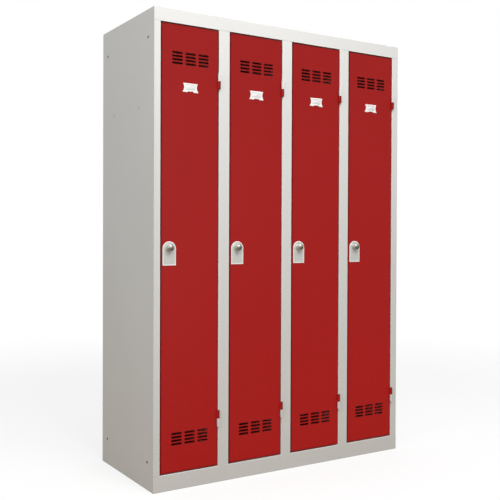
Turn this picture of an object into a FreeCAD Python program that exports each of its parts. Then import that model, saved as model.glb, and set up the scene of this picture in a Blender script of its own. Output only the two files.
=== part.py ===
import FreeCAD, Part
import os
import Sketcher
from FreeCAD import Vector, Rotation, Placement

# Four-column steel locker. Millimetres, +Z up, +X right, doors face -Y.
# Local layout: x from the left side, y back from the front plane, z up from the floor.

doc = FreeCAD.newDocument("Locker")
sheet = doc.addObject("Spreadsheet::Sheet", "Sizes")

CELLS = [
    # carcass
    ("width_all", 1200), ("depth_all", 500), ("height_all", 1800),
    ("sheet_thk", 0.8), ("frame_thk", 1.0), ("bend_in", 0.8),
    ("stile_left", 26.4), ("opening_wide", 249.4), ("column_pitch", 297),
    ("header_high", 51), ("plinth_high", 62.5), ("rebate_deep", 19.7), ("lip_wide", 12),
    ("rear_flange", 15), ("foot_flange", 20), ("roof_lap", 15), ("pan_flange", 20),
    ("coupling_rad", 4), ("coupling_span_y", 392), ("coupling_low_z", 104.5), ("coupling_span_z", 1592.5),
    ("weld_rad", 3.2), ("weld_deep", 0.3), ("weld_front_y", 137), ("weld_back_y", 377), ("weld_z", 1446),
    ("rear_weld_low", 116), ("rear_weld_step", 196),
    # doors
    ("gap_lock", 3), ("gap_hinge", 2.6), ("gap_top", 4), ("gap_bottom", 4),
    ("door_thk", 1.0), ("door_deep", 18), ("door_lip", 13), ("door_round", 1.8),
    ("slot_long", 43.5), ("slot_high", 7.2), ("slot_step_x", 55.5), ("slot_step_z", 13),
    ("slots_top_z", 1620.8), ("slots_low_z", 192.2),
    ("stiff_wide", 64), ("stiff_crown", 36), ("stiff_deep", 11), ("stiff_low_z", 240), ("stiff_top_z", 1470),
    # hinges
    ("knuckle_rad", 5.5), ("hinge_bore", 3.05), ("pin_rad", 3.0), ("hinge_out", 6.2), ("leaf_thk", 1.5),
    ("leaf_deep", 14), ("knuckle_long", 30.5), ("knuckle_gap", 0.5), ("hinge_top_z", 1550), ("hinge_low_z", 249.4),
    ("knuckle_cap", 2.5),
    # lock
    ("plate_in", 5.8), ("plate_wide", 55.4), ("plate_low_z", 844), ("arch_z", 906.6), ("lock_z", 910.4),
    ("plate_thk", 2.0), ("plate_field", 1.2), ("plate_rim", 4.6), ("plate_round", 0.7),
    ("drum_rad", 12.5), ("drum_out", 18.5), ("drum_round", 1.4), ("barrel_rad", 9), ("barrel_fit", 0.1),
    ("barrel_back", 21.5), ("plug_rad", 7), ("plug_fit", 0.05), ("plug_head_rad", 10.8), ("plug_dome_rad", 17), ("lock_proud", 24),
    ("plug_gap", 0.05), ("tail_square", 7.5), ("tail_fit", 0.05), ("tail_back", 26),
    ("keyway_wide", 1.8), ("keyway_high", 9), ("keyway_deep", 11),
    ("cam_front", 22.2), ("cam_thk", 2.5), ("cam_wide", 18), ("cam_reach", 36.2),
    ("nut_rad", 14.5), ("nut_thk", 5),
    # label holder
    ("label_wide", 70), ("label_high", 34), ("label_low_z", 1495.8), ("label_off", -1), ("label_thk", 2.2), ("label_waist", 54),
    ("label_side_rad", 25.5), ("label_side_up", 1.6), ("label_notch_wide", 25), ("label_notch_high", 3.5),
    ("label_card_wide", 45), ("label_card_high", 20), ("label_card_deep", 0.6),
    # inside
    ("shelf_z", 1456), ("shelf_front", 60), ("shelf_flange", 20),
    ("rail_z", 1395), ("rail_y", 262), ("rail_rad", 10), ("rail_wall", 1.2),
    ("cup_base_rad", 17), ("cup_base_thk", 1.5), ("cup_rad", 12.5), ("cup_long", 10), ("cup_fit", 0.05),
    ("hook_fit", 0.06), ("hook_ring", 13.2), ("hook_wide", 14), ("hook_stem", 42), ("hook_thk", 4),
    ("hook_span", 62), ("hook_up", 16),
    ("buffer_rad", 4), ("buffer_thk", 1.4), ("buffer_low_z", 300), ("buffer_top_z", 1500),
]


class E:
    """A size: its spreadsheet expression and its value."""

    def __init__(self, text, val):
        self.t, self.v = text, float(val)

    @staticmethod
    def of(o):
        return o if isinstance(o, E) else E(repr(float(o)), o)

    def __add__(self, o):
        o = E.of(o)
        return E("(%s + %s)" % (self.t, o.t), self.v + o.v)

    def __radd__(self, o):
        return E.of(o) + self

    def __sub__(self, o):
        o = E.of(o)
        return E("(%s - %s)" % (self.t, o.t), self.v - o.v)

    def __rsub__(self, o):
        return E.of(o) - self

    def __mul__(self, o):
        o = E.of(o)
        return E("(%s * %s)" % (self.t, o.t), self.v * o.v)

    def __rmul__(self, o):
        return E.of(o) * self

    def __truediv__(self, o):
        o = E.of(o)
        return E("(%s / %s)" % (self.t, o.t), self.v / o.v)

    def __neg__(self):
        return E("(0 - %s)" % self.t, -self.v)


class Sizes:
    pass


S = Sizes()
for row, (alias, value) in enumerate(CELLS, 1):
    sheet.set("A%d" % row, alias)
    sheet.set("B%d" % row, str(value))
    sheet.setAlias("B%d" % row, alias)
    setattr(S, alias, E("Sizes." + alias, value))
doc.recompute()

W, D, H = S.width_all, S.depth_all, S.height_all
ST, FT, DT = S.sheet_thk, S.frame_thk, S.door_thk
PH, RB, LIP = S.plinth_high, S.rebate_deep, S.lip_wide
HZ = H - S.header_high
ORIGIN = (-(W / 2), (S.lock_proud - D) / 2, E.of(0))
OPEN_L = [S.stile_left + S.column_pitch * i for i in range(4)]
OPEN_R = [x + S.opening_wide for x in OPEN_L]
DOOR_W = S.opening_wide - S.gap_lock - S.gap_hinge
DOOR_L = [x + S.gap_lock for x in OPEN_L]
DOOR_R = [x - S.gap_hinge for x in OPEN_R]
DOOR_Z = PH + S.gap_bottom
DOOR_H = HZ - S.gap_top - DOOR_Z
PART_X = [(OPEN_R[k] + OPEN_L[k + 1]) / 2 for k in range(3)]
CELL_L = [ST] + [x + ST for x in PART_X]
CELL_R = PART_X + [W - ST]

nodes = {}


def bind(obj, prop, size):
    obj.setExpression(prop, E.of(size).t)


def put(obj, x, y, z, rot=None):
    pos = [E.of(c) + o for c, o in zip((x, y, z), ORIGIN)]
    obj.Placement = Placement(Vector(*[c.v for c in pos]), rot or Rotation())
    for axis, c in zip("xyz", pos):
        bind(obj, "Placement.Base." + axis, c)


def box(name, x0, x1, y0, y1, z0, z1):
    o = doc.addObject("Part::Box", name)
    for prop, a, b in (("Length", x0, x1), ("Width", y0, y1), ("Height", z0, z1)):
        bind(o, prop, E.of(b) - E.of(a))
    put(o, x0, y0, z0)
    return o


TURN = {
    "x": Rotation(Vector(0, 1, 0), 90),
    "y": Rotation(Vector(1, 0, 0), -90),
    "z": Rotation(),
}


def cyl(name, axis, x, y, z, rad, length):
    o = doc.addObject("Part::Cylinder", name)
    bind(o, "Radius", rad)
    bind(o, "Height", length)
    put(o, x, y, z, TURN[axis])
    return o


def fuse(name, parts):
    o = doc.addObject("Part::MultiFuse", name)
    o.Shapes = parts
    o.Refine = True
    return o


def group(name, parts):
    o = doc.addObject("Part::Compound", name)
    o.Links = parts
    return o


def cut(name, base, tools):
    o = doc.addObject("Part::Cut", name)
    o.Base = base
    o.Tool = tools[0] if len(tools) == 1 else group(name + "_tools", tools)
    o.Refine = True
    return o


def node(obj, label):
    obj.Label = label
    nodes[label] = obj
    return obj


def plane_of(body, role):
    return [f for f in body.Origin.OriginFeatures if f.Role == role][0]


def sketch_on(body, name, role, lift=None):
    sk = body.newObject("Sketcher::SketchObject", name)
    sk.AttachmentSupport = [(plane_of(body, role), "")]
    sk.MapMode = "FlatFace"
    if lift is not None:
        sk.AttachmentOffset = Placement(Vector(0, 0, lift.v), Rotation())
        bind(sk, "AttachmentOffset.Base.z", lift)
    return sk


def polygon(sk, pts):
    n = len(pts)
    for i in range(n):
        a, b = pts[i], pts[(i + 1) % n]
        sk.addGeometry(
            Part.LineSegment(Vector(a[0].v, a[1].v, 0), Vector(b[0].v, b[1].v, 0)), False
        )
    for i in range(n):
        sk.addConstraint(Sketcher.Constraint("Coincident", i, 2, (i + 1) % n, 1))
    for i, p in enumerate(pts):
        for kind, size in (("DistanceX", p[0]), ("DistanceY", p[1])):
            k = sk.addConstraint(Sketcher.Constraint(kind, -1, 1, i, 1, size.v))
            sk.setExpression("Constraints[%d]" % k, size.t)


def rectangle(sk, x0, x1, y0, y1):
    x0, x1, y0, y1 = (E.of(c) for c in (x0, x1, y0, y1))
    polygon(sk, [(x0, y0), (x1, y0), (x1, y1), (x0, y1)])


def folded(name, role, path, thk, start, end):
    """A sheet folded along a right-angled path and run straight from start to end."""
    path = [(E.of(a), E.of(b)) for a, b in path]
    thk, start, end = E.of(thk), E.of(start), E.of(end)
    norm = []
    for a, b in zip(path, path[1:]):
        dx, dy = b[0].v - a[0].v, b[1].v - a[1].v
        norm.append((-1 if dy > 0 else 1 if dy < 0 else 0, 1 if dx > 0 else -1 if dx < 0 else 0))
    side, outer, inner = [], [], []
    for k, p in enumerate(path):
        ns = [norm[i] for i in (k - 1, k) if 0 <= i < len(norm)]
        q = (p[0] + thk * sum(n[0] for n in ns), p[1] + thk * sum(n[1] for n in ns))
        side.append(q)
        if len(ns) == 2:
            left_turn = ns[0][0] * ns[1][1] - ns[0][1] * ns[1][0] > 0
            outer.append(p if left_turn else q)
            inner.append(q if left_turn else p)
    body = doc.addObject("PartDesign::Body", name)
    sk = sketch_on(body, name + "_sketch", role)
    polygon(sk, path + side[::-1])
    pad = body.newObject("PartDesign::Pad", name + "_pad")
    pad.Profile = sk
    bind(pad, "Length", end - start)
    doc.recompute()
    along = {"XY_Plane": (0, 1), "YZ_Plane": (1, 2)}[role]
    tip = pad
    for tag, corners, rad in (("outer", outer, S.bend_in + thk), ("inner", inner, S.bend_in)):
        picked = []
        for i, e in enumerate(tip.Shape.Edges, 1):
            if len(e.Vertexes) != 2 or e.Curve.TypeId != "Part::GeomLine":
                continue
            ends = [v.Point for v in e.Vertexes]
            for c in corners:
                if all(
                    abs(v[along[0]] - c[0].v) < 1e-4 and abs(v[along[1]] - c[1].v) < 1e-4
                    for v in ends
                ):
                    picked.append("Edge%d" % i)
        fil = body.newObject("PartDesign::Fillet", name + "_" + tag)
        fil.Base = (tip, picked)
        bind(fil, "Radius", rad)
        doc.recompute()
        tip = fil
    body.Tip = tip
    if role == "XY_Plane":
        put(body, 0, 0, start)
    else:
        put(body, start, 0, 0)
    return body


# ---------------------------------------------------------------- side panels
def side_panel(name, front_path, back_path, x_out, sign, strips=()):
    mid = folded(name + "_mid", "XY_Plane", front_path, ST, PH, HZ)
    low = folded(name + "_low", "XY_Plane", back_path, ST, 0, PH)
    top = folded(name + "_top", "XY_Plane", back_path, ST, HZ, H)
    inner = x_out + S.foot_flange * sign
    foot = box(
        name + "_foot",
        x_out if sign > 0 else inner,
        inner if sign > 0 else x_out,
        RB + ST + 0.5, D - ST - 1.0, 0, ST,
    )
    tools = []
    far = x_out - 5 if sign > 0 else x_out - ST - 5
    for a, y in enumerate((D / 2 - S.coupling_span_y / 2, D / 2 + S.coupling_span_y / 2)):
        for b, z in enumerate((S.coupling_low_z, S.coupling_low_z + S.coupling_span_z)):
            tools.append(cyl("%s_hole_%d%d" % (name, a, b), "x", far, y, z, S.coupling_rad, ST + 10))
    for a, y in enumerate((S.weld_front_y, S.weld_back_y)):
        x = x_out - 2 if sign > 0 else x_out - S.weld_deep
        tools.append(cyl("%s_weld_%d" % (name, a), "x", x, y, S.weld_z, S.weld_rad, S.weld_deep + 2))
    for a in range(9):
        z = S.rear_weld_low + S.rear_weld_step * a
        tools.append(cyl("%s_rear_weld_%d" % (name, a), "y", x_out + S.rear_flange / 2 * sign, D - S.weld_deep, z,
                         S.weld_rad, S.weld_deep + 2))
    sheet_metal = cut(name + "_cut", fuse(name + "_fuse", [mid, low, top, foot]), tools)
    node(group(name + "_set", [sheet_metal, *strips]) if strips else sheet_metal, name)


L0, R3 = OPEN_L[0], OPEN_R[3]
side_panel(
    "left_side_panel",
    [(S.rear_flange, D), (0, D), (0, 0), (L0, 0), (L0, RB)],
    [(S.rear_flange, D), (0, D), (0, 0)],
    E.of(0), 1,
    [box("lock_stop_strip", L0 - ST, L0 + LIP, RB, RB + ST, PH, HZ)],
)
side_panel(
    "right_side_panel",
    [(R3 - LIP, RB), (R3, RB), (R3, 0), (W, 0), (W, D), (W - S.rear_flange, D)],
    [(W, 0), (W, D), (W - S.rear_flange, D)],
    W, -1,
)

# ---------------------------------------------------------------- back, roof, floor
# weld marks where the rear flanges of the partitions meet the back
rear_welds = [
    cyl("back_weld_%d%d" % (k, a), "y", x - 7, D - ST - S.weld_deep, S.rear_weld_low + S.rear_weld_step * a,
        S.weld_rad, S.weld_deep + 2)
    for k, x in enumerate(PART_X)
    for a in range(9)
]
node(
    cut(
        "back_cut",
        box("back_sheet", ST + S.bend_in + 0.2, W - ST - S.bend_in - 0.2, D - ST * 2, D - ST, 1, H - 1),
        rear_welds,
    ),
    "back_panel",
)

node(
    fuse("roof_fuse", [
        box("roof_top", ST, W - ST, S.roof_lap + 0.2, D - ST * 2, H - ST, H),
        box("roof_front", ST, W - ST, S.roof_lap + 0.2, S.roof_lap + 0.2 + ST, H - S.pan_flange, H),
        box("roof_left", ST, ST * 2, S.roof_lap + 0.2, D - ST * 2, H - S.pan_flange, H),
        box("roof_right", W - ST * 2, W - ST, S.roof_lap + 0.2, D - ST * 2, H - S.pan_flange, H),
    ]),
    "roof_panel",
)

FY = RB + ST + 0.2
node(
    fuse("floor_fuse", [
        box("floor_top", ST, W - ST, FY, D - ST * 2, PH - ST, PH),
        box("floor_front", ST, W - ST, FY, FY + ST, PH - S.pan_flange, PH),
        box("floor_back", ST, W - ST, D - ST * 3, D - ST * 2, PH - S.pan_flange, PH),
        box("floor_left", ST, ST * 2, FY, D - ST * 2, PH - S.pan_flange, PH),
        box("floor_right", W - ST * 2, W - ST, FY, D - ST * 2, PH - S.pan_flange, PH),
    ]),
    "floor_panel",
)

# ---------------------------------------------------------------- front frame
header = folded(
    "header_fold", "YZ_Plane",
    [(S.roof_lap, H), (0, H), (0, HZ), (RB + ST, HZ)], FT, ST, W - ST,
)
plinth = folded(
    "plinth_fold", "YZ_Plane",
    [(RB + ST, PH), (0, PH), (0, 0), (RB, 0)], FT, ST, W - ST,
)
top_lips, low_lips = [], []
for i in range(4):
    x0, x1 = OPEN_L[i] + LIP + 0.5, OPEN_R[i] - LIP - 0.5
    top_lips.append(box("header_lip_%d" % i, x0, x1, RB, RB + ST, HZ - LIP, HZ + FT))
    low_lips.append(box("plinth_lip_%d" % i, x0, x1, RB, RB + ST, PH - FT, PH + LIP))
node(fuse("header_fuse", [header] + top_lips), "header_rail")
node(fuse("plinth_fuse", [plinth] + low_lips), "plinth_rail")

for k in range(3):
    a, b, c = OPEN_R[k], OPEN_L[k + 1], PART_X[k]
    node(
        folded(
            "mullion_fold_%d" % (k + 1), "XY_Plane",
            [(a - LIP, RB), (a, RB), (a, 0), (b, 0), (b, RB), (b + LIP, RB)], FT, PH, HZ,
        ),
        "mullion_%d" % (k + 1),
    )
    node(
        folded(
            "partition_fold_%d" % (k + 1), "XY_Plane",
            [(c - 14, D - ST * 3), (c, D - ST * 3), (c, RB + FT + ST), (a - LIP + 1, RB + FT + ST)],
            ST, PH, H - ST,
        ),
        "partition_%d" % (k + 1),
    )

# ---------------------------------------------------------------- inside of the compartments
shelves, rails, cups = [], [], []
for i in range(4):
    x0, x1 = CELL_L[i], CELL_R[i]
    y0, y1 = S.shelf_front, D - ST * 3 - S.bend_in - 0.2
    z1 = S.shelf_z
    pan = box("shelf_block_%d" % i, x0, x1, y0, y1, z1 - S.shelf_flange, z1)
    hollow = box("shelf_hollow_%d" % i, x0 + ST, x1 - ST, y0 + ST, y1 - ST, z1 - S.shelf_flange - 1, z1 - ST)
    hem = box("shelf_hem_%d" % i, x0 + ST, x1 - ST, y0, y0 + 12, z1 - S.shelf_flange, z1 - S.shelf_flange + ST)
    shelves.append(fuse("shelf_%d" % i, [cut("shelf_pan_%d" % i, pan, [hollow]), hem]))
    a, b = x0 + S.cup_base_thk + 0.1, x1 - S.cup_base_thk - 0.1
    tube = cyl("rail_out_%d" % i, "x", a, S.rail_y, S.rail_z, S.rail_rad, b - a)
    bore = cyl("rail_in_%d" % i, "x", a - 1, S.rail_y, S.rail_z, S.rail_rad - S.rail_wall, b - a + 2)
    rails.append(cut("rail_%d" % i, tube, [bore]))
    for side in (0, 1):
        tag = "%d%d" % (i, side)
        base_x = x0 if side == 0 else x1 - S.cup_base_thk
        cup_x = x0 if side == 0 else x1 - S.cup_long
        bore_x = x0 + S.cup_base_thk if side == 0 else x1 - S.cup_long - 1
        solid = fuse("cup_fuse_" + tag, [
            cyl("cup_base_" + tag, "x", base_x, S.rail_y, S.rail_z, S.cup_base_rad, S.cup_base_thk),
            cyl("cup_wall_" + tag, "x", cup_x, S.rail_y, S.rail_z, S.cup_rad, S.cup_long),
        ])
        hole = cyl("cup_bore_" + tag, "x", bore_x, S.rail_y, S.rail_z, S.rail_rad + S.cup_fit,
                   S.cup_long - S.cup_base_thk + 1)
        cups.append(cut("cup_" + tag, solid, [hole]))
    # sliding double hook: ring on the rail, stem and an upturned bar
    xc = (x0 + x1) / 2
    h0, h1 = xc - S.hook_wide / 2, xc + S.hook_wide / 2
    y, z = S.rail_y, S.rail_z
    zb = z - S.hook_stem
    t2 = S.hook_thk / 2
    hook = fuse("hook_fuse_%d" % i, [
        cyl("hook_ring_%d" % i, "x", h0, y, z, S.hook_ring, S.hook_wide),
        box("hook_stem_%d" % i, h0, h1, y - t2, y + t2, zb, z - S.rail_rad),
        box("hook_bar_%d" % i, h0, h1, y - S.hook_span / 2, y + S.hook_span / 2, zb - S.hook_thk, zb),
        box("hook_tip_f_%d" % i, h0, h1, y - S.hook_span / 2, y - S.hook_span / 2 + S.hook_thk,
            zb - S.hook_thk, zb + S.hook_up),
        box("hook_tip_b_%d" % i, h0, h1, y + S.hook_span / 2 - S.hook_thk, y + S.hook_span / 2,
            zb - S.hook_thk, zb + S.hook_up),
    ])
    ring_hole = cyl("hook_hole_%d" % i, "x", h0 - 1, y, z, S.rail_rad + S.hook_fit, S.hook_wide + 2)
    node(cut("hook_cut_%d" % i, hook, [ring_hole]), "coat_hook_%d" % (i + 1))
node(group("shelf_set", shelves), "hat_shelves")
node(group("rail_set", rails), "coat_rails")
node(group("cup_set", cups), "rail_brackets")

buffers = []
for i in range(4):
    for k, z in enumerate((S.buffer_low_z, S.buffer_top_z)):
        buffers.append(cyl("buffer_%d%d" % (i, k), "y", OPEN_L[i] + LIP * 0.62, RB - S.buffer_thk, z,
                           S.buffer_rad, S.buffer_thk))
node(group("buffer_set", buffers), "door_buffers")

# ---------------------------------------------------------------- hinges
KL, KG = S.knuckle_long, S.knuckle_gap / 2
HY = -S.hinge_out


def knuckle(name, x, z0, leaf0, leaf1, bore_from, bore_to):
    solid = fuse(name + "_fuse", [
        cyl(name + "_barrel", "z", x, HY, z0, S.knuckle_rad, KL),
        box(name + "_leaf", leaf0, leaf1, HY, S.leaf_deep, z0, z0 + KL),
    ])
    return cut(name, solid, [cyl(name + "_bore", "z", x, HY, bore_from, S.hinge_bore, bore_to - bore_from)])


frame_knuckles, pins, door_knuckles = [], [], []
for i in range(4):
    x = DOOR_R[i]
    leaf = (x, x + S.leaf_thk)
    held = (OPEN_R[i] - S.leaf_thk, OPEN_R[i])
    pair = []
    # upper hinge: frame knuckle above, door knuckle below
    zt = S.hinge_top_z
    frame_knuckles.append(knuckle("frame_knuckle_t%d" % i, x, zt + KG, held[0], held[1],
                                  zt + KG - 1, zt + KG + KL - S.knuckle_cap))
    pair.append(knuckle("door_knuckle_t%d" % i, x, zt - KG - KL, leaf[0], leaf[1],
                        zt - KG - KL + S.knuckle_cap, zt - KG + 1))
    pins.append(cyl("pin_t%d" % i, "z", x, HY, zt - KL + 3.5, S.pin_rad, KL * 2 - 7))
    # lower hinge: door knuckle above, frame knuckle below
    zl = S.hinge_low_z
    pair.append(knuckle("door_knuckle_l%d" % i, x, zl + KG, leaf[0], leaf[1],
                        zl + KG - 1, zl + KG + KL - S.knuckle_cap))
    frame_knuckles.append(knuckle("frame_knuckle_l%d" % i, x, zl - KG - KL, held[0], held[1],
                                  zl - KG - KL + S.knuckle_cap, zl - KG + 1))
    pins.append(cyl("pin_l%d" % i, "z", x, HY, zl - KL + 3.5, S.pin_rad, KL * 2 - 7))
    node(group("door_knuckles_%d" % i, pair), "door_%d_hinge_knuckles" % (i + 1))
node(group("frame_knuckle_set", frame_knuckles), "frame_hinge_knuckles")
node(group("pin_set", pins), "hinge_pins")


# ---------------------------------------------------------------- doors
def obround(sk, cx, cy, long, high):
    """A slot with round ends, bound by its centre, length and height."""
    r = high / 2
    x0, x1 = cx - long / 2 + r, cx + long / 2 - r
    c = Vector(0, 0, 1)
    half = 1.5707963267948966
    sk.addGeometry(Part.LineSegment(Vector(x0.v, (cy - r).v, 0), Vector(x1.v, (cy - r).v, 0)), False)
    sk.addGeometry(Part.ArcOfCircle(Part.Circle(Vector(x1.v, cy.v, 0), c, r.v), -half, half), False)
    sk.addGeometry(Part.LineSegment(Vector(x1.v, (cy + r).v, 0), Vector(x0.v, (cy + r).v, 0)), False)
    sk.addGeometry(Part.ArcOfCircle(Part.Circle(Vector(x0.v, cy.v, 0), c, r.v), half, 3 * half), False)
    for a, pa, b, pb in ((0, 2, 1, 1), (1, 2, 2, 1), (2, 2, 3, 1), (3, 2, 0, 1)):
        sk.addConstraint(Sketcher.Constraint("Tangent", a, pa, b, pb))
    sk.addConstraint(Sketcher.Constraint("Equal", 1, 3))
    for g, kind, size in (
        (1, "DistanceX", x1), (1, "DistanceY", cy), (3, "DistanceX", x0), (3, "DistanceY", cy),
    ):
        k = sk.addConstraint(Sketcher.Constraint(kind, -1, 1, g, 3, size.v))
        sk.setExpression("Constraints[%d]" % k, size.t)
    k = sk.addConstraint(Sketcher.Constraint("Radius", 1, r.v))
    sk.setExpression("Constraints[%d]" % k, r.t)


def pocket(body, name, sk, depth):
    """Cut from the sketch plane towards the back, checked by volume."""
    before = body.Tip.Shape.Volume
    p = body.newObject("PartDesign::Pocket", name)
    p.Profile = sk
    bind(p, "Length", depth)
    doc.recompute()
    if p.Shape.isNull() or p.Shape.Volume > before - 1e-6:
        p.Reversed = True
        doc.recompute()
    assert p.Shape.Volume < before - 1e-6, name
    return p


def door_panel(i):
    name = "door_pan_%d" % (i + 1)
    body = doc.addObject("PartDesign::Body", name)
    sk = sketch_on(body, name + "_outline", "XZ_Plane")
    rectangle(sk, 0, DOOR_W, 0, DOOR_H)
    pad = body.newObject("PartDesign::Pad", name + "_pad")
    pad.Profile = sk
    pad.Reversed = True
    bind(pad, "Length", S.door_deep)
    doc.recompute()
    assert pad.Shape.BoundBox.YMin > -1e-6
    # folded outer edges
    picked = []
    for k, e in enumerate(pad.Shape.Edges, 1):
        if all(abs(v.Y) < 1e-6 for v in e.Vertexes):
            picked.append("Edge%d" % k)
    fil = body.newObject("PartDesign::Fillet", name + "_edges")
    fil.Base = (pad, picked)
    bind(fil, "Radius", S.door_round)
    doc.recompute()
    # hollow between the face and the return lips, then the opening in the back
    sk = sketch_on(body, name + "_hollow_sk", "XZ_Plane", -DT)
    rectangle(sk, DT, DOOR_W - DT, DT, DOOR_H - DT)
    pocket(body, name + "_hollow", sk, S.door_deep - DT * 2)
    sk = sketch_on(body, name + "_back_sk", "XZ_Plane", -(S.door_deep - DT))
    rectangle(sk, S.door_lip, DOOR_W - S.door_lip, S.door_lip, DOOR_H - S.door_lip)
    pocket(body, name + "_back", sk, DT)
    # ventilation slots, three columns by four rows, twice
    for tag, zc in (("low", S.slots_low_z), ("top", S.slots_top_z)):
        sk = sketch_on(body, name + "_slot_sk_" + tag, "XZ_Plane")
        obround(sk, DOOR_W / 2 - S.slot_step_x, zc - DOOR_Z - S.slot_step_z * 1.5, S.slot_long, S.slot_high)
        one = pocket(body, name + "_slot_" + tag, sk, DT)
        multi = body.newObject("PartDesign::MultiTransform", name + "_slots_" + tag)
        multi.Originals = [one]
        rows = body.newObject("PartDesign::LinearPattern", name + "_cols_" + tag)
        rows.Direction = (sk, ["H_Axis"])
        bind(rows, "Length", S.slot_step_x * 2)
        rows.Occurrences = 3
        cols = body.newObject("PartDesign::LinearPattern", name + "_rows_" + tag)
        cols.Direction = (sk, ["V_Axis"])
        bind(cols, "Length", S.slot_step_z * 3)
        cols.Occurrences = 4
        multi.Transformations = [rows, cols]
        body.Tip = multi
        doc.recompute()
    put(body, DOOR_L[i], 0, DOOR_Z)
    lock_x = DOOR_L[i] + S.plate_in + S.plate_wide / 2
    hole = cyl(name + "_lock_hole", "y", lock_x, -5, S.lock_z, S.barrel_rad + S.barrel_fit, 10)
    return cut(name + "_cut", body, [hole])


def arch(name, x, y0, y1, inset, low_z):
    half = S.plate_wide / 2 - inset
    return fuse(name, [
        box(name + "_foot", x - half, x + half, y0, y1, low_z, S.arch_z),
        cyl(name + "_arc", "y", x, y0, S.arch_z, half, E.of(y1) - E.of(y0)),
    ])


def front_fillet(name, base, y, rad):
    """Round the edges that lie on the plane y (local)."""
    doc.recompute()
    gy = (E.of(y) + ORIGIN[1]).v
    edges = []
    for k, e in enumerate(base.Shape.Edges, 1):
        pts = [e.valueAt(e.FirstParameter + (e.LastParameter - e.FirstParameter) * f) for f in (0, 0.37, 1)]
        if all(abs(p.y - gy) < 1e-5 for p in pts):
            edges.append((k, rad.v, rad.v))
    o = doc.addObject("Part::Fillet", name)
    o.Base = base
    o.Edges = edges
    return o


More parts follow.
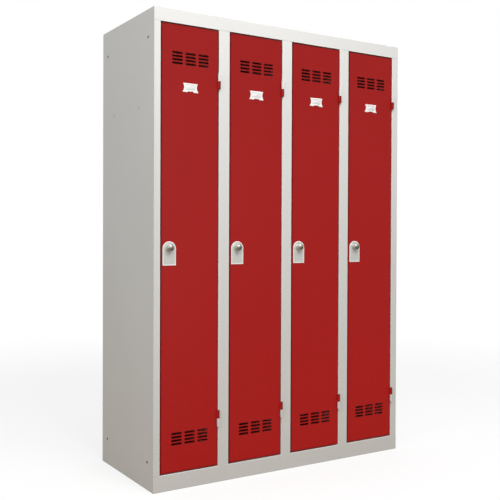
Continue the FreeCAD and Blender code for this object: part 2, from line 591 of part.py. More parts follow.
for i in range(4):
    n = i + 1
    node(door_panel(i), "door_%d_panel" % n)
    c = DOOR_L[i] + DOOR_W / 2
    a, b = S.stiff_wide / 2, S.stiff_crown / 2
    node(
        folded(
            "stiffener_fold_%d" % n, "XY_Plane",
            [(c - a, DT), (c - b, DT), (c - b, S.stiff_deep), (c + b, S.stiff_deep), (c + b, DT), (c + a, DT)],
            ST, S.stiff_low_z, S.stiff_top_z,
        ),
        "door_%d_stiffener" % n,
    )

    # lock plate: raised rim round a lower field
    x, z = DOOR_L[i] + S.plate_in + S.plate_wide / 2, S.lock_z
    slab = front_fillet("plate_slab_round_%d" % n, arch("plate_slab_%d" % n, x, -S.plate_thk, 0, E.of(0), S.plate_low_z),
                        -S.plate_thk, S.plate_round)
    field = arch("plate_field_%d" % n, x, -S.plate_thk - 1, -S.plate_field, S.plate_rim, S.plate_low_z + S.plate_rim)
    hole = cyl("plate_hole_%d" % n, "y", x, -S.plate_thk - 5, z, S.barrel_rad + S.barrel_fit, 10)
    plate = cut("plate_dish_%d" % n, slab, [field])
    node(cut("plate_cut_%d" % n, plate, [hole]), "door_%d_lock_plate" % n)

    # lock body: drum in front, barrel through the door
    drum = front_fillet("drum_round_%d" % n,
                        cyl("drum_%d" % n, "y", x, -S.drum_out, z, S.drum_rad, S.drum_out - S.plate_field),
                        -S.drum_out, S.drum_round)
    barrel = cyl("barrel_%d" % n, "y", x, -S.plate_field - 1, z, S.barrel_rad, S.barrel_back + S.plate_field + 1)
    bore = cyl("lock_bore_%d" % n, "y", x, -S.drum_out - 1, z, S.plug_rad + S.plug_fit,
               S.drum_out + S.barrel_back + 2)
    node(cut("lock_body_cut_%d" % n, fuse("lock_body_fuse_%d" % n, [drum, barrel]), [bore]), "door_%d_lock_body" % n)

    hexa = doc.addObject("Part::Prism", "nut_hex_%d" % n)
    hexa.Polygon = 6
    bind(hexa, "Circumradius", S.nut_rad)
    bind(hexa, "Height", S.nut_thk)
    put(hexa, x, DT, z, TURN["y"])
    thread = cyl("nut_bore_%d" % n, "y", x, 0, z, S.barrel_rad + S.plug_fit, S.nut_thk + 3)
    node(cut("nut_cut_%d" % n, hexa, [thread]), "door_%d_lock_nut" % n)

    # plug: domed head with the keyway, shank, square tail
    tail = S.tail_square / 2
    head_back = -(S.drum_out + S.plug_gap)
    dome = doc.addObject("Part::Sphere", "plug_dome_%d" % n)
    bind(dome, "Radius", S.plug_dome_rad)
    put(dome, x, S.plug_dome_rad - S.lock_proud, z)
    head = doc.addObject("Part::Common", "plug_head_round_%d" % n)
    head.Base = cyl("plug_head_%d" % n, "y", x, -S.lock_proud, z, S.plug_head_rad, S.lock_proud + head_back)
    head.Tool = dome
    plug = fuse("plug_fuse_%d" % n, [
        head,
        cyl("plug_shank_%d" % n, "y", x, head_back - 0.5, z, S.plug_rad, S.barrel_back + 0.1 - head_back + 0.5),
        box("plug_tail_%d" % n, x - tail, x + tail, S.barrel_back - 1, S.tail_back, z - tail, z + tail),
    ])
    key = box("keyway_%d" % n, x - S.keyway_wide / 2, x + S.keyway_wide / 2, -S.lock_proud - 1,
              -S.lock_proud + S.keyway_deep, z - S.keyway_high / 2, z + S.keyway_high / 2)
    node(cut("plug_cut_%d" % n, plug, [key]), "lock_%d_plug" % n)

    # cam on the tail, upright while unlocked
    half = S.cam_wide / 2
    strip = fuse("cam_fuse_%d" % n, [
        box("cam_bar_%d" % n, x - half, x + half, S.cam_front, S.cam_front + S.cam_thk, z, z + S.cam_reach),
        cyl("cam_end_a_%d" % n, "y", x, S.cam_front, z, half, S.cam_thk),
        cyl("cam_end_b_%d" % n, "y", x, S.cam_front, z + S.cam_reach, half, S.cam_thk),
    ])
    sq = tail + S.tail_fit
    square = box("cam_square_%d" % n, x - sq, x + sq, S.cam_front - 1, S.cam_front + S.cam_thk + 1, z - sq, z + sq)
    node(cut("cam_cut_%d" % n, strip, [square]), "lock_%d_cam" % n)

    # label holder: hollowed sides, notch below, shallow card recess
    zc = S.label_low_z + S.label_high / 2
    c = c + S.label_off
    lab = box("label_block_%d" % n, c - S.label_wide / 2, c + S.label_wide / 2, -S.label_thk, 0,
              S.label_low_z, S.label_low_z + S.label_high)
    off = S.label_waist / 2 + S.label_side_rad
    bite = [
        cyl("label_bite_%d%d" % (n, k), "y", c + off * s, -S.label_thk - 1, zc + S.label_side_up,
            S.label_side_rad, S.label_thk + 2)
        for k, s in enumerate((-1, 1))
    ]
    notch = box("label_notch_%d" % n, c - S.label_notch_wide / 2, c + S.label_notch_wide / 2,
                -S.label_thk - 1, 1, S.label_low_z - 1, S.label_low_z + S.label_notch_high)
    shaped = cut("label_shape_%d" % n, lab, bite + [notch])
    card = box("label_card_%d" % n, c - S.label_card_wide / 2, c + S.label_card_wide / 2,
               -S.label_thk - 1, -S.label_thk + S.label_card_deep,
               zc - S.label_card_high / 2 + 1, zc + S.label_card_high / 2 + 1)
    node(cut("label_cut_%d" % n, shaped, [card]), "door_%d_label_holder" % n)

doc.recompute()

bad = []
for o in doc.Objects:
    if any(s in o.State for s in ("Invalid", "Error")):
        bad.append((o.Name, o.State))
for label, o in nodes.items():
    if o.Shape.isNull() or not o.Shape.isValid() or not o.Shape.Solids:
        bad.append((label, "shape"))
if bad:
    raise RuntimeError("not built: %s" % bad)

os.makedirs("parts", exist_ok=True)
for label, o in nodes.items():
    o.Shape.exportStep("parts/%s.step" % label)
print(len(nodes), "nodes")
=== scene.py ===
import math

import bmesh
import bpy
from mathutils import Matrix, Vector


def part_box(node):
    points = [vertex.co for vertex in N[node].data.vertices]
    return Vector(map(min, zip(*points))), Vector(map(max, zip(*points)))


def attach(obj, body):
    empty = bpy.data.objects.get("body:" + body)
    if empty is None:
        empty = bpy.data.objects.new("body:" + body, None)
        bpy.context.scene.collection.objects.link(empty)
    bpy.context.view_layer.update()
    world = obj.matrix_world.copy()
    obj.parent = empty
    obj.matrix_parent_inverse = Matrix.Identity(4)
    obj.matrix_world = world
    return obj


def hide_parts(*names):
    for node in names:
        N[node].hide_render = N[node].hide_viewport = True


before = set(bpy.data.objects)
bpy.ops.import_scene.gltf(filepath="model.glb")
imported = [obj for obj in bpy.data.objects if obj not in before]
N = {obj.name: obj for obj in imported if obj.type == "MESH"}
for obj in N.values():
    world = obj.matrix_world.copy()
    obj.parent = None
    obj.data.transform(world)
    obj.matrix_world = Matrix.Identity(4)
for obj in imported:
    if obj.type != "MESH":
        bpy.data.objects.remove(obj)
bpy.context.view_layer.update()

scene = bpy.context.scene
MM = 0.001


# ------------------------------------------------------------------ node helpers
class Tree:
    """A material's node tree with short calls for the nodes used here."""

    def __init__(self, name):
        self.mat = bpy.data.materials.new(name)
        self.mat.use_nodes = True
        self.nt = self.mat.node_tree
        self.nt.nodes.clear()
        self.out = self.add("ShaderNodeOutputMaterial")
        self.bsdf = self.add("ShaderNodeBsdfPrincipled")
        self.link(self.bsdf.outputs["BSDF"], self.out.inputs["Surface"])
        self.coord = None

    def add(self, kind):
        return self.nt.nodes.new(kind)

    def link(self, a, b):
        self.nt.links.new(a, b)

    def put(self, socket, value):
        if isinstance(value, bpy.types.NodeSocket):
            self.link(value, socket)
        else:
            socket.default_value = value

    def set(self, **values):
        for key, value in values.items():
            self.put(self.bsdf.inputs[key.replace("_", " ")], value)

    def coords(self, kind="Object"):
        if self.coord is None:
            self.coord = self.add("ShaderNodeTexCoord")
        return self.coord.outputs[kind]

    def stretch(self, vector, scale):
        n = self.add("ShaderNodeMapping")
        self.link(vector, n.inputs["Vector"])
        n.inputs["Scale"].default_value = scale
        return n.outputs["Vector"]

    def noise(self, scale, detail=2.0, rough=0.5, vector=None, distortion=0.0):
        n = self.add("ShaderNodeTexNoise")
        self.link(vector or self.coords(), n.inputs["Vector"])
        n.inputs["Scale"].default_value = scale
        n.inputs["Detail"].default_value = detail
        n.inputs["Roughness"].default_value = rough
        n.inputs["Distortion"].default_value = distortion
        return n.outputs["Fac"]

    def voronoi(self, scale, feature="F1", output="Distance", vector=None):
        n = self.add("ShaderNodeTexVoronoi")
        n.feature = feature
        self.link(vector or self.coords(), n.inputs["Vector"])
        n.inputs["Scale"].default_value = scale
        return n.outputs[output]

    def span(self, value, a, b, lo, hi, smooth=False):
        n = self.add("ShaderNodeMapRange")
        n.interpolation_type = "SMOOTHSTEP" if smooth else "LINEAR"
        n.clamp = True
        self.put(n.inputs["Value"], value)
        for key, v in (("From Min", a), ("From Max", b), ("To Min", lo), ("To Max", hi)):
            n.inputs[key].default_value = v
        return n.outputs["Result"]

    def math(self, op, a, b=0.0, c=None):
        n = self.add("ShaderNodeMath")
        n.operation = op
        self.put(n.inputs[0], a)
        self.put(n.inputs[1], b)
        if c is not None:
            self.put(n.inputs[2], c)
        return n.outputs[0]

    def apart(self, value, middle, half):
        """Distance from the nearer of two lines at middle - half and middle + half."""
        return self.math("SUBTRACT", self.math("ABSOLUTE", self.math("SUBTRACT", value, middle)), half)

    def spot(self, a, b, inner, outer):
        """One inside a round spot, falling to zero at its outer radius."""
        d = self.math("SQRT", self.math("ADD", self.math("MULTIPLY", a, a), self.math("MULTIPLY", b, b)))
        return self.span(d, inner, outer, 1.0, 0.0, True)

    def split(self, vector):
        n = self.add("ShaderNodeSeparateXYZ")
        self.link(vector, n.inputs[0])
        return n.outputs

    def ramp(self, fac, *stops):
        n = self.add("ShaderNodeValToRGB")
        self.link(fac, n.inputs["Fac"])
        e = n.color_ramp.elements
        while len(e) < len(stops):
            e.new(0.5)
        for el, (pos, col) in zip(e, stops):
            el.position = pos
            el.color = (*col, 1.0)
        return n.outputs["Color"]

    def mix(self, fac, a, b):
        n = self.add("ShaderNodeMix")
        n.data_type = "RGBA"
        self.put(n.inputs["Factor"], fac)
        for key, col in (("A", a), ("B", b)):
            s = [x for x in n.inputs if x.name == key and x.type == "RGBA"][0]
            if isinstance(col, bpy.types.NodeSocket):
                self.link(col, s)
            else:
                s.default_value = (*col, 1.0)
        return [x for x in n.outputs if x.type == "RGBA"][0]

    def bump(self, height, distance, strength=1.0, over=None):
        n = self.add("ShaderNodeBump")
        n.inputs["Strength"].default_value = strength
        n.inputs["Distance"].default_value = distance
        self.link(height, n.inputs["Height"])
        if over is not None:
            self.link(over, n.inputs["Normal"])
        return n.outputs["Normal"]


def shade(c, k):
    return tuple(min(1.0, x * k) for x in c)


# ------------------------------------------------------------------ materials
PITCH = 0.297                 # from one column to the next
lo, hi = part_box("door_1_panel")
DOOR_MID, DOOR_HALF = (lo.x + hi.x) / 2, (hi.x - lo.x) / 2
DOOR_LOW, DOOR_TOP, FRONT = lo.z, hi.z, lo.y
lo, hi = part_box("mullion_1")
POST_MID, POST_HALF = (lo.x + hi.x) / 2, (hi.x - lo.x) / 2 - 0.012    # without the lips behind the doors
HEAD_LOW, PLINTH_TOP = 1.749, 0.0625
SLOTS_TOP, SLOTS_LOW, SLOT_HALF = 1.6208, 0.1922, 0.0036
lo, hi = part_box("door_1_hinge_knuckles")
HINGE_MID, HINGE_HALF = (lo.z + hi.z) / 2, (hi.z - lo.z) / 2 - 0.01525    # to the middle of each knuckle
PIN_X = hi.x - 0.0055
lo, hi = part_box("door_1_label_holder")
LABEL_MID, LABEL_LOW = (lo.x + hi.x) / 2, lo.z


def sheet_finish(t, rough, spec):
    """Powder coat on sheet metal: slow waviness of the sheet under a fine orange peel."""
    t.bsdf.inputs["Specular IOR Level"].default_value = spec
    patch = t.noise(7.0, 3.0, 0.55)
    grain = t.noise(260.0, 2.0, 0.5)
    t.set(Roughness=t.math("ADD", t.span(patch, 0.3, 0.7, rough - 0.035, rough + 0.035),
                           t.span(grain, 0.3, 0.7, -0.02, 0.02)))
    wave = t.bump(t.noise(2.4, 1.0, 0.4), 0.0016, 0.5)
    peel = t.math("ADD", t.noise(430.0, 2.0, 0.55), t.math("MULTIPLY", t.noise(1500.0, 1.0, 0.5), 0.25))
    t.set(Normal=t.bump(peel, 0.00009, 0.55, wave))


def paint_colour(t, colour, spread):
    """Slow drift of tone over the sheet and a fine mottle in the coat."""
    slow = t.noise(1.9, 2.0, 0.5)
    fine = t.noise(70.0, 3.0, 0.6)
    both = t.math("ADD", t.math("MULTIPLY", slow, 0.65), t.math("MULTIPLY", fine, 0.35))
    return t.ramp(both, (0.32, shade(colour, 1.0 - spread)), (0.68, shade(colour, 1.0 + spread)))


def red_powder_coat():
    t = Tree("red_powder_coat")
    x, y, z = t.split(t.coords())
    front = t.span(y, FRONT + 0.0016, FRONT + 0.004, 1.0, 0.0)
    off = t.math("PINGPONG", t.math("SUBTRACT", x, DOOR_MID), PITCH / 2)
    edge = t.math("MINIMUM", t.math("SUBTRACT", DOOR_HALF, off),
                  t.math("MINIMUM", t.math("SUBTRACT", z, DOOR_LOW), t.math("SUBTRACT", DOOR_TOP, z)))
    face = t.math("MULTIPLY", front, t.span(y, FRONT - 0.0012, FRONT - 0.0006, 0.0, 1.0))    # without the knuckles
    # painted shade: the door faces darken towards their borders, darkest at the edge
    rim = t.math("MULTIPLY", t.span(edge, -0.0045, 0.0085, PAINTED_BORDER_SHADE, 0.0, True), face)
    # no painted border shade where a knuckle stands over the edge
    side = t.math("WRAP", t.math("SUBTRACT", x, DOOR_MID), PITCH / 2, -PITCH / 2)
    hinge = t.math("MULTIPLY", t.span(t.math("ABSOLUTE", t.apart(z, HINGE_MID, HINGE_HALF)), 0.0150, 0.0172, 1.0, 0.0),
                   t.span(side, 0.0, 0.01, 0.0, 1.0))
    rim = t.math("MULTIPLY", rim, t.math("SUBTRACT", 1.0, hinge))
    # painted shade over the half of each knuckle towards the frame, with a ragged border
    ragged_side = t.math("ADD", side, t.math("MULTIPLY", t.math("SUBTRACT", t.noise(240.0, 2.0, 0.5), 0.5), 0.002))
    knuckle_shade = t.math("MULTIPLY", t.span(ragged_side, PIN_X - DOOR_MID - 0.0050, PIN_X - DOOR_MID - 0.0005, 0.0, 0.55, True),
                    t.span(y, FRONT - 0.0012, FRONT - 0.0006, 1.0, 0.0))
    rim = t.math("MAXIMUM", rim, knuckle_shade)
    # painted shade round the punched slots
    w = t.math("MINIMUM", t.math("ABSOLUTE", t.math("SUBTRACT", z, SLOTS_TOP)),
               t.math("ABSOLUTE", t.math("SUBTRACT", z, SLOTS_LOW)))
    dz = t.math("PINGPONG", t.math("SUBTRACT", w, 0.0065), 0.0065)
    dx = t.math("MAXIMUM", t.math("SUBTRACT", t.math("PINGPONG", off, 0.02775), 0.01775), 0.0)
    far = t.math("SQRT", t.math("ADD", t.math("MULTIPLY", dx, dx), t.math("MULTIPLY", dz, dz)))
    slot_shade = t.span(far, SLOT_HALF, SLOT_HALF + 0.0040, PAINTED_SLOT_SHADE, 0.0, True)
    slot_shade = t.math("MULTIPLY", slot_shade, t.span(off, 0.0790, 0.0815, 1.0, 0.0))
    slot_shade = t.math("MULTIPLY", slot_shade, t.span(w, 0.0250, 0.0275, 1.0, 0.0))
    slot_shade = t.math("MULTIPLY", slot_shade, front)
    t.set(Base_Color=t.mix(t.math("MAXIMUM", rim, slot_shade), paint_colour(t, RED, 0.022), shade(RED, 0.06)))
    sheet_finish(t, 0.40, 0.11)
    return t.mat


def grey_powder_coat():
    t = Tree("grey_powder_coat")
    x, y, z = t.split(t.coords())
    front = t.span(y, FRONT + 0.0016, FRONT + 0.003, 1.0, 0.0)
    off = t.math("PINGPONG", t.math("SUBTRACT", x, POST_MID), PITCH / 2)
    up = t.math("ABSOLUTE", t.math("SUBTRACT", off, POST_HALF))
    beside = t.math("MULTIPLY", t.span(z, PLINTH_TOP - 0.001, PLINTH_TOP, 0.0, 1.0),
                    t.span(z, HEAD_LOW, HEAD_LOW + 0.001, 1.0, 0.0))
    across = t.math("MINIMUM", t.math("ABSOLUTE", t.math("SUBTRACT", z, HEAD_LOW)),
                    t.math("ABSOLUTE", t.math("SUBTRACT", z, PLINTH_TOP)))
    over = t.span(off, POST_HALF - 0.001, POST_HALF, 0.0, 1.0)
    # painted highlight: the grey is lighter within a few millimetres of the folded edges round the openings
    fold_highlight = t.math("MAXIMUM", t.math("MULTIPLY", t.span(up, 0.0, 0.0055, 1.0, 0.0, True), beside),
                  t.math("MULTIPLY", t.span(across, 0.0, 0.0055, 1.0, 0.0, True), over))
    fold_highlight = t.math("MULTIPLY", fold_highlight, front)
    paint = t.mix(fold_highlight, paint_colour(t, GREY, 0.018), shade(GREY, PAINTED_EDGE_HIGHLIGHT))
    # on the two sides: painted shade round the coupling holes and the marks of two welds
    flank = t.span(t.math("ABSOLUTE", x), 0.5990, 0.5996, 0.0, 1.0)
    hole_shade = t.spot(t.apart(y, FRONT + 0.250, 0.196), t.apart(z, 0.90075, 0.79625), 0.0044, 0.0062)
    weld = t.spot(t.apart(y, FRONT + 0.257, 0.120), t.math("SUBTRACT", z, 1.444), 0.0042, 0.0112)
    # on the back: rows of welds down the flanges and partitions, and the seam beside each flange
    rear = t.span(y, FRONT + 0.4986, FRONT + 0.4990, 0.0, 1.0)
    row = t.math("PINGPONG", t.math("SUBTRACT", z, 0.116), 0.098)
    middle = t.span(t.math("ABSOLUTE", x), 0.40, 0.41, 1.0, 0.0)
    col = t.math("MULTIPLY", t.spot(t.math("PINGPONG", t.math("SUBTRACT", x, POST_MID - 0.007), PITCH / 2), row,
                                    0.0026, 0.0075), middle)
    ends = t.spot(t.math("SUBTRACT", t.math("ABSOLUTE", x), 0.5925), row, 0.0026, 0.0075)
    seam = t.span(t.math("ABSOLUTE", t.math("SUBTRACT", t.math("ABSOLUTE", x), 0.5847)), 0.0003, 0.0014, 1.0, 0.0)
    marks = t.math("ADD", t.math("MULTIPLY", weld, t.math("MULTIPLY", flank, 0.20)),
                   t.math("MULTIPLY", rear, t.math("ADD", t.math("MULTIPLY", t.math("MAXIMUM", col, ends), 0.20),
                                                   t.math("MULTIPLY", seam, 0.45))))
    paint = t.mix(marks, paint, shade(GREY, 0.12))
    t.set(Base_Color=t.mix(t.math("MULTIPLY", hole_shade, flank), paint, shade(GREY, 0.10)))
    sheet_finish(t, 0.42, 0.30)
    return t.mat


def drawn_metal(name, colour, rough, along, spread=0.07):
    """Plated steel with drawing lines along one axis."""
    t = Tree(name)
    scale = [340.0, 340.0, 340.0]
    scale["xyz".index(along)] = 6.0
    lines = t.noise(1.0, 4.0, 0.6, t.stretch(t.coords(), scale))
    patch = t.noise(38.0, 3.0, 0.6)
    tone = t.math("ADD", t.math("MULTIPLY", lines, 0.6), t.math("MULTIPLY", patch, 0.4))
    t.set(Base_Color=t.ramp(tone, (0.3, shade(colour, 1 - spread)), (0.7, shade(colour, 1 + spread))))
    t.set(Roughness=t.span(tone, 0.3, 0.7, rough - 0.07, rough + 0.07))
    t.set(Normal=t.bump(lines, 0.00004, 0.4))
    t.bsdf.inputs["Metallic"].default_value = 1.0
    return t.mat


def plated(name, colour, rough, warm):
    """Bright plating with a slight change of tint."""
    t = Tree(name)
    patch = t.noise(95.0, 3.0, 0.55)
    t.set(Base_Color=t.ramp(patch, (0.3, colour), (0.7, warm)))
    t.set(Roughness=t.span(t.noise(420.0, 2.0, 0.5), 0.3, 0.7, rough - 0.05, rough + 0.06))
    t.bsdf.inputs["Metallic"].default_value = 1.0
    return t.mat


def moulded(name, colour, rough, spec, grain=900.0, depth=0.00005, spread=0.05):
    """Moulded plastic or rubber with a fine spark-eroded grain."""
    t = Tree(name)
    patch = t.noise(46.0, 3.0, 0.55)
    t.set(Base_Color=t.ramp(patch, (0.3, shade(colour, 1 - spread)), (0.7, shade(colour, 1 + spread))))
    t.set(Roughness=t.span(t.noise(180.0, 2.0), 0.3, 0.7, rough - 0.05, rough + 0.05))
    t.set(Normal=t.bump(t.noise(grain, 2.0, 0.6), depth, 0.5))
    t.bsdf.inputs["Specular IOR Level"].default_value = spec
    return t.mat


def satin_plate():
    """Lock plate: satin field, brighter raised rim."""
    t = Tree("satin_silver")
    x, y, z = t.split(t.coords())
    lines = t.noise(1.0, 4.0, 0.6, t.stretch(t.coords(), (900.0, 900.0, 14.0)))
    rim = t.span(y, FRONT - 0.0019, FRONT - 0.0014, 1.0, 0.0)
    field = t.ramp(lines, (0.3, shade(PLATE, 0.95)), (0.7, shade(PLATE, 1.05)))
    bright = t.ramp(lines, (0.3, shade(PLATE_RIM, 0.97)), (0.7, shade(PLATE_RIM, 1.03)))
    t.set(Base_Color=t.mix(rim, field, bright))
    t.set(Roughness=t.math("SUBTRACT", t.span(lines, 0.3, 0.7, 0.36, 0.48), t.math("MULTIPLY", rim, 0.06)))
    t.set(Normal=t.bump(lines, 0.00003, 0.4))
    t.bsdf.inputs["Metallic"].default_value = 0.25
    return t.mat


def ruled_card():
    """Blank card with faint ruled lines."""
    t = Tree("label_card")
    x, y, z = t.split(t.coords())
    off = t.math("PINGPONG", t.math("SUBTRACT", x, LABEL_MID), PITCH / 2)
    line = t.math("PINGPONG", t.math("SUBTRACT", z, LABEL_LOW + 0.018), 0.0032)
    rule = t.math("MULTIPLY", t.span(line, 0.00035, 0.00065, 1.0, 0.0),
                  t.math("MULTIPLY", t.span(off, 0.0185, 0.0188, 1.0, 0.0),
                         t.span(t.math("ABSOLUTE", t.math("SUBTRACT", z, LABEL_LOW + 0.018)), 0.0072, 0.0074, 1.0, 0.0)))
    fibre = t.noise(700.0, 4.0, 0.65)
    paper = t.ramp(fibre, (0.3, shade(CARD, 0.97)), (0.7, shade(CARD, 1.02)))
    t.set(Base_Color=t.mix(rule, paper, (0.36, 0.40, 0.42)))
    t.set(Roughness=t.span(fibre, 0.3, 0.7, 0.62, 0.74))
    t.set(Normal=t.bump(fibre, 0.00003, 0.4))
    t.bsdf.inputs["Specular IOR Level"].default_value = 0.25
    return t.mat


GREY = (0.60, 0.60, 0.585)
RED = (0.42, 0.0135, 0.0122)
# strengths of the painted shade along the door borders and round the slots, and of the painted highlight along the
# frame's edges
PAINTED_BORDER_SHADE, PAINTED_SLOT_SHADE, PAINTED_EDGE_HIGHLIGHT = 0.56, 0.30, 1.12
PLATE, PLATE_RIM = (0.59, 0.60, 0.58), (0.83, 0.83, 0.81)
WHITE, CARD = (0.75, 0.75, 0.74), (0.67, 0.67, 0.66)

MATS = {
    "grey_paint": grey_powder_coat(),
    "red_paint": red_powder_coat(),
    "zinc": drawn_metal("zinc_plate", (0.60, 0.61, 0.62), 0.36, "z"),
    "rail_zinc": drawn_metal("zinc_tube", (0.62, 0.63, 0.64), 0.30, "x"),
    "chrome": plated("nickel_plate", (0.66, 0.67, 0.62), 0.20, (0.57, 0.57, 0.50)),
    "plug": plated("lock_plug", (0.40, 0.40, 0.36), 0.40, (0.33, 0.33, 0.28)),
    "lock_plate": satin_plate(),
    "label": moulded("white_plastic", WHITE, 0.34, 0.45, 1200.0, 0.00002, 0.02),
    "card": ruled_card(),
    "rubber": moulded("black_rubber", (0.018, 0.018, 0.018), 0.72, 0.3),
    "hook_plastic": moulded("black_plastic", (0.020, 0.020, 0.022), 0.42, 0.5, 700.0, 0.00008),
    "bracket_plastic": moulded("grey_plastic", (0.055, 0.056, 0.060), 0.48, 0.45, 700.0, 0.00008),
}

red_lit, other_lit = [], []
for name, obj in N.items():
    if name.startswith("door_") and name.endswith(("_panel", "_stiffener", "_hinge_knuckles")):
        key = "red_paint"
    elif name.endswith("_lock_plate"):
        key = "lock_plate"
    elif name.endswith("_lock_body"):
        key = "chrome"
    elif name.endswith("_plug"):
        key = "plug"
    elif name == "coat_rails":
        key = "rail_zinc"
    elif name.endswith(("_lock_nut", "_cam")) or name == "hinge_pins":
        key = "zinc"
    elif name.endswith("_label_holder"):
        key = "label"
    elif name == "door_buffers":
        key = "rubber"
    elif name.startswith("coat_hook"):
        key = "hook_plastic"
    elif name == "rail_brackets":
        key = "bracket_plastic"
    else:
        key = "grey_paint"
    obj.data.materials.clear()
    obj.data.materials.append(MATS[key])
    (red_lit if key == "red_paint" else other_lit).append(obj)


# ------------------------------------------------------------------ modelled pieces
def rounded(corners, steps=5):
    """A closed outline from (a, b, radius) corners, each rounded by its radius."""
    out = []
    n = len(corners)
    for i, (a, b, r) in enumerate(corners):
        p = Vector((a, b))
        if r <= 0.0:
            out.append(p)
            continue
        u = (Vector(corners[i - 1][:2]) - p).normalized()
        v = (Vector(corners[(i + 1) % n][:2]) - p).normalized()
        half = math.acos(max(-1.0, min(1.0, u.dot(v)))) / 2
        mid = p + (u + v).normalized() * (r / math.sin(half))
        s, e = p + u * (r / math.tan(half)) - mid, p + v * (r / math.tan(half)) - mid
        a0 = math.atan2(s.y, s.x)
        sweep = (math.atan2(e.y, e.x) - a0 + math.pi) % (2 * math.pi) - math.pi
        for k in range(steps + 1):
            t = a0 + sweep * k / steps
            out.append(mid + Vector((math.cos(t), math.sin(t))) * r)
    return out


def inset(outline, d):
    """The outline moved inwards by d (outline runs anticlockwise)."""
    out = []
    n = len(outline)
    for i, p in enumerate(outline):
        u = (p - outline[i - 1]).normalized()
        v = (outline[(i + 1) % n] - p).normalized()
        nu, nv = Vector((-u.y, u.x)), Vector((-v.y, v.x))
        m = (nu + nv).normalized()
        out.append(p + m * (d / max(0.35, m.dot(nu))))
    return out


def reach(outline, mid, angle):
    """How far the outline is from mid in one direction."""
    d = Vector((math.cos(angle), math.sin(angle)))
    best = 0.0
    for i, q in enumerate(outline):
        p = outline[i - 1] - mid
        e = q - outline[i - 1]
        den = d.x * e.y - d.y * e.x
        if abs(den) < 1e-12:
            continue
        r = (p.x * e.y - p.y * e.x) / den
        s = (p.x * d.y - p.y * d.x) / den
        if r > 0 and -1e-9 <= s <= 1 + 1e-9:
            best = max(best, r)
    return best


def ring_of(bm, pts, place):
    return [bm.verts.new(place(p)) for p in pts]


def skin(bm, a, b):
    n = len(a)
    for i in range(n):
        bm.faces.new((a[i], a[(i + 1) % n], b[(i + 1) % n], b[i]))


def piece(name, bm, material, body, slot, *nodes):
    bmesh.ops.recalc_face_normals(bm, faces=bm.faces)
    mesh = bpy.data.meshes.new(name)
    bm.to_mesh(mesh)
    bm.free()
    mesh.shade_smooth()
    mesh.set_sharp_from_angle(angle=math.radians(34))
    mesh.materials.append(material)
    o = bpy.data.objects.new(name, mesh)
    scene.collection.objects.link(o)
    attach(o, body)
    if nodes:
        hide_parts(*nodes)
    other_lit.append(o)
    return o


# label holder: hollowed sides, a notch below, a rounded rim and a sunk window for the card
side = [Vector((52.5, 18.6)) + 25.5 * Vector((math.cos(math.radians(a)), math.sin(math.radians(a))))
        for a in [226.7 + (142.8 - 226.7) * f for f in (0.13, 0.2, 0.28, 0.36, 0.44, 0.5, 0.56, 0.64, 0.72, 0.8, 0.87)]]
outline = rounded(
    [(35.0, 0.0, 1.5)] + [(p.x, p.y, 0.0) for p in side] + [(32.18, 34.0, 1.5), (-32.18, 34.0, 1.5)]
    + [(-p.x, p.y, 0.0) for p in reversed(side)] + [(-35.0, 0.0, 1.5)]
    + [(-12.5, 0.0, 0.9), (-12.5, 3.5, 0.9), (12.5, 3.5, 0.9), (12.5, 0.0, 0.9)])
window = rounded([(22.5, 8.0, 1.4), (22.5, 28.0, 1.4), (-22.5, 28.0, 1.4), (-22.5, 8.0, 1.4)], 6)
middle = Vector((0.0, 18.0))
angles = sorted({round(math.atan2(p.y - middle.y, p.x - middle.x), 5) for p in outline + window}
                | {round(-math.pi + 2 * math.pi * k / 120, 5) for k in range(120)})
angles = [a for i, a in enumerate(angles) if i == 0 or a - angles[i - 1] > 0.004]
outer = [middle + reach(outline, middle, a) * Vector((math.cos(a), math.sin(a))) for a in angles]
inner = [middle + reach(window, middle, a) * Vector((math.cos(a), math.sin(a))) for a in angles]

for i in range(4):
    xc = LABEL_MID + PITCH * i

    def at(h, xc=xc):
        return lambda p: (xc + p.x * MM, FRONT - h * MM, LABEL_LOW + p.y * MM)

    bm = bmesh.new()
    rings = [
        ring_of(bm, outer, at(0.02)), ring_of(bm, outer, at(1.35)), ring_of(bm, inset(outer, 0.14), at(1.78)),
        ring_of(bm, inset(outer, 0.45), at(2.08)), ring_of(bm, inset(outer, 0.9), at(2.19)),
        ring_of(bm, inset(inner, -0.75), at(2.19)), ring_of(bm, inset(inner, -0.3), at(2.08)),
        ring_of(bm, inner, at(1.8)), ring_of(bm, inner, at(1.0)),
    ]
    for a, b in zip(rings, rings[1:]):
        skin(bm, a, b)
    bm.faces.new(rings[0])
    bm.faces.new(rings[-1])
    piece("label_holder_%d" % (i + 1), bm, MATS["label"], "door_%d" % (i + 1), "label",
          "door_%d_label_holder" % (i + 1))

    card = rounded([(21.9, 8.5, 0.9), (21.9, 27.5, 0.9), (-21.9, 27.5, 0.9), (-21.9, 8.5, 0.9)], 4)
    bm = bmesh.new()
    low = ring_of(bm, card, at(1.03))
    mid = ring_of(bm, card, at(1.34))
    top = ring_of(bm, inset(card, 0.12), at(1.42))
    skin(bm, low, mid)
    skin(bm, mid, top)
    bm.faces.new(low)
    bm.faces.new(top)
    piece("label_card_%d" % (i + 1), bm, MATS["card"], "door_%d" % (i + 1), "label")

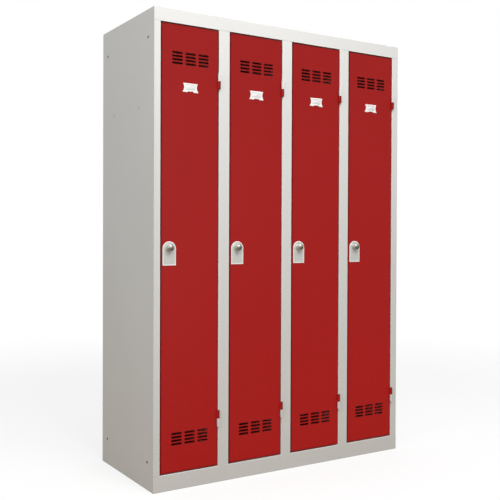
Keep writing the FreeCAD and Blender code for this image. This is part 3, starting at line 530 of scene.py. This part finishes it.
# sliding coat hook: eye round the rail, stem, two upturned arms
eye = [Vector((13.2 * math.cos(math.radians(a)), 13.2 * math.sin(math.radians(a))))
       for a in [-75 + 165 * f for f in (0.0, 0.07, 0.13, 0.19, 0.25, 0.31, 0.37, 0.44, 0.5, 0.56, 0.63, 0.69, 0.75, 0.81, 0.88, 0.94)]]
half = [(31.0, -46.0, 8.5), (31.0, -26.0, 1.95), (27.0, -26.0, 1.95), (27.0, -42.0, 6.0), (2.4, -42.0, 6.0),
        (eye[0].x, eye[0].y, 1.6)] + [(p.x, p.y, 0.0) for p in eye[1:]]
hook_line = rounded(half + [(0.0, 13.2, 0.0)] + [(-a, b, r) for a, b, r in reversed(half)], 6)
bore = [Vector((10.2 * math.cos(2 * math.pi * k / 56), 10.2 * math.sin(2 * math.pi * k / 56))) for k in range(56)]
STEPS = ((1.15, 7.0), (0.62, 6.82), (0.2, 6.4), (0.0, 5.7))

for i in range(4):
    lo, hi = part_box("coat_hook_%d" % (i + 1))
    xm = (lo.x + hi.x) / 2
    ym, zm = FRONT + 0.262, 1.395

    def at(w):
        return lambda p: (xm + w * MM, ym + p.x * MM, zm + p.y * MM)

    bm = bmesh.new()
    shells = []
    for line, sign in ((hook_line, 1.0), (bore, -1.0)):
        rings = [ring_of(bm, inset(line, d * sign * (1.0 if sign > 0 else 0.6)), at(-w)) for d, w in STEPS]
        rings += [ring_of(bm, inset(line, d * sign * (1.0 if sign > 0 else 0.6)), at(w)) for d, w in reversed(STEPS)]
        for a, b in zip(rings, rings[1:]):
            skin(bm, a, b)
        shells.append((rings[0], rings[-1]))
    for k in (0, 1):
        edges = []
        for pair in shells:
            loop = pair[k]
            for j, v in enumerate(loop):
                edges.append(bm.edges.get((v, loop[(j + 1) % len(loop)])))
        bmesh.ops.triangle_fill(bm, use_beauty=True, use_dissolve=False, edges=edges)
    piece("coat_hook_moulding_%d" % (i + 1), bm, MATS["hook_plastic"], "hook_%d" % (i + 1), "hook_plastic",
          "coat_hook_%d" % (i + 1))


# ------------------------------------------------------------------ stage, light, camera
bm = bmesh.new()
bmesh.ops.create_circle(bm, cap_ends=True, segments=96, radius=9.0)
floor_mesh = bpy.data.meshes.new("floor")
bm.to_mesh(floor_mesh)
bm.free()
floor = bpy.data.objects.new("floor", floor_mesh)
scene.collection.objects.link(floor)
t = Tree("pale_floor")
t.set(Base_Color=(0.9, 0.9, 0.9, 1.0), Roughness=0.85)
soft = t.add("ShaderNodeEmission")
soft.inputs["Color"].default_value = (1.0, 1.0, 1.0, 1.0)
soft.inputs["Strength"].default_value = 1.0
seen = t.add("ShaderNodeMixShader")
seen.inputs["Fac"].default_value = 0.68
t.link(t.bsdf.outputs[0], seen.inputs[1])
t.link(soft.outputs[0], seen.inputs[2])
low = t.add("ShaderNodeBsdfDiffuse")
low.inputs["Color"].default_value = (0.29, 0.225, 0.15, 1.0)
lp = t.add("ShaderNodeLightPath")
both = t.add("ShaderNodeMixShader")
t.link(lp.outputs["Is Camera Ray"], both.inputs["Fac"])
t.link(low.outputs[0], both.inputs[1])
t.link(seen.outputs[0], both.inputs[2])
x, y, _ = t.split(t.coords())
r = t.math("SQRT", t.math("ADD", t.math("MULTIPLY", x, x), t.math("MULTIPLY", y, y)))
fade = t.span(r, 1.6, 4.5, 1.0, 0.0, True)
clear = t.add("ShaderNodeBsdfTransparent")
m = t.add("ShaderNodeMixShader")
t.link(fade, m.inputs["Fac"])
t.link(clear.outputs[0], m.inputs[1])
t.link(both.outputs[0], m.inputs[2])
t.link(m.outputs[0], t.out.inputs["Surface"])
floor_mesh.materials.append(t.mat)
other_lit.append(floor)


def receivers(name, objects):
    c = bpy.data.collections.new(name)
    for o in objects:
        c.objects.link(o)
    return c


knuckles = [N["door_%d_hinge_knuckles" % (i + 1)] for i in range(4)]
lit_red = receivers("lit_red", [o for o in red_lit if o not in knuckles])
lit_knuckles = receivers("lit_knuckles", knuckles)
lit_other = receivers("lit_other", other_lit)
lit_object = receivers("lit_object", red_lit + [o for o in other_lit if o != floor])
lit_key = receivers("lit_key", [o for o in other_lit if o != N["roof_panel"]])    # no glare on the roof
lit_roof = receivers("lit_roof", [N["roof_panel"]])


def area_light(name, place, aim, width, height, power, lit=None, colour=(1, 1, 1)):
    data = bpy.data.lights.new(name, "AREA")
    data.shape = "RECTANGLE"
    data.size, data.size_y = width, height
    data.energy = power
    data.color = colour
    o = bpy.data.objects.new(name, data)
    o.location = place
    o.rotation_mode = "QUATERNION"
    o.rotation_quaternion = (Vector(aim) - Vector(place)).to_track_quat("-Z", "Y")
    scene.collection.objects.link(o)
    if lit is not None:
        o.light_linking.receiver_collection = lit
    return o


area_light("key", (-0.32, -2.2, 3.05), (0.0, -0.24, 1.0), 1.6, 1.2, 60, lit_key)
area_light("side_fill", (-3.6, -2.0, 2.3), (-0.6, -0.1, 1.1), 2.0, 1.6, 38, lit_other)
area_light("overhead", (-0.2, -1.0, 3.8), (-0.2, -0.6, 0.0), 4.0, 3.5, 14, lit_other)
area_light("roof_soft", (0.0, 0.1, 4.2), (0.0, 0.1, 0.0), 3.0, 2.0, 26, lit_roof)
area_light("rear", (2.9, 1.5, 2.3), (0.2, 0.1, 0.9), 1.4, 1.4, 60, lit_object)
front_fill = area_light("front_fill", (-0.2, -6.2, 1.5), (0.0, -0.2, 0.9), 4.0, 3.0, 133, lit_red)
front_fill.light_linking.blocker_collection = receivers("no_shadow", knuckles)
for link in front_fill.light_linking.blocker_collection.collection_objects:
    link.light_linking.link_state = "EXCLUDE"
area_light("hinge_side", (-3.8, -2.2, 1.9), (-0.1, -0.2, 0.95), 1.8, 1.8, 95, lit_knuckles)
# faint red bounce from the backs of the doors onto the walls that show through the slots
lit_walls = receivers("lit_walls", [N[n] for n in ("partition_1", "partition_2", "partition_3", "right_side_panel",
                                                   "back_panel", "hat_shelves", "floor_panel", "roof_panel")])
for i in range(4):
    lo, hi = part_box("door_%d_panel" % (i + 1))
    bounce = area_light("bounce_%d" % (i + 1), (lo.x + 0.012, FRONT + 0.14, 0.92), (lo.x + 1.0, FRONT + 0.14, 0.92),
                        0.16, 1.62, 0.10, lit_walls, (1.0, 0.06, 0.05))
    bounce.visible_camera = bounce.visible_glossy = False

world = bpy.data.worlds.new("studio")
scene.world = world
world.use_nodes = True
wt = world.node_tree
wt.nodes.clear()
wo = wt.nodes.new("ShaderNodeOutputWorld")
wm = wt.nodes.new("ShaderNodeMixShader")
wp = wt.nodes.new("ShaderNodeLightPath")
w_seen = wt.nodes.new("ShaderNodeBackground")
w_light = wt.nodes.new("ShaderNodeBackground")
w_seen.inputs["Color"].default_value = (1, 1, 1, 1)
w_seen.inputs["Strength"].default_value = 1.0
w_light.inputs["Color"].default_value = (1, 1, 1, 1)
wc = wt.nodes.new("ShaderNodeTexCoord")
ws = wt.nodes.new("ShaderNodeSeparateXYZ")
wr = wt.nodes.new("ShaderNodeMapRange")
wr.interpolation_type = "SMOOTHSTEP"
for key, v in (("From Min", -0.25), ("From Max", 0.15), ("To Min", 0.175), ("To Max", 0.70)):
    wr.inputs[key].default_value = v
wt.links.new(wc.outputs["Generated"], ws.inputs[0])
wt.links.new(ws.outputs["Z"], wr.inputs["Value"])
wt.links.new(wr.outputs[0], w_light.inputs["Strength"])
wt.links.new(wp.outputs["Is Camera Ray"], wm.inputs["Fac"])
wt.links.new(w_light.outputs[0], wm.inputs[1])
wt.links.new(w_seen.outputs[0], wm.inputs[2])
wt.links.new(wm.outputs[0], wo.inputs["Surface"])

yaw, pitch, roll = (math.radians(a) for a in (31.55100, -0.61673, 0.21342))
look = Vector((math.sin(yaw) * math.cos(pitch), math.cos(yaw) * math.cos(pitch), math.sin(pitch)))
right = Vector((math.cos(yaw), -math.sin(yaw), 0.0))
up = right.cross(look)
r2 = math.cos(roll) * right + math.sin(roll) * up
u2 = -math.sin(roll) * right + math.cos(roll) * up
place = Vector((-1.8394055, -2.8523217, 0.9629766))
cam_data = bpy.data.cameras.new("camera")
cam_data.sensor_width = 36.0
cam_data.lens = 56.22173
cam_data.shift_x = 0.0231676
cam_data.shift_y = -0.0154096
cam = bpy.data.objects.new("camera", cam_data)
cam.matrix_world = Matrix((
    (r2.x, u2.x, -look.x, place.x),
    (r2.y, u2.y, -look.y, place.y),
    (r2.z, u2.z, -look.z, place.z),
    (0, 0, 0, 1),
))
scene.collection.objects.link(cam)
scene.camera = cam
scene.view_settings.view_transform = "Standard"
scene.view_settings.look = "None"
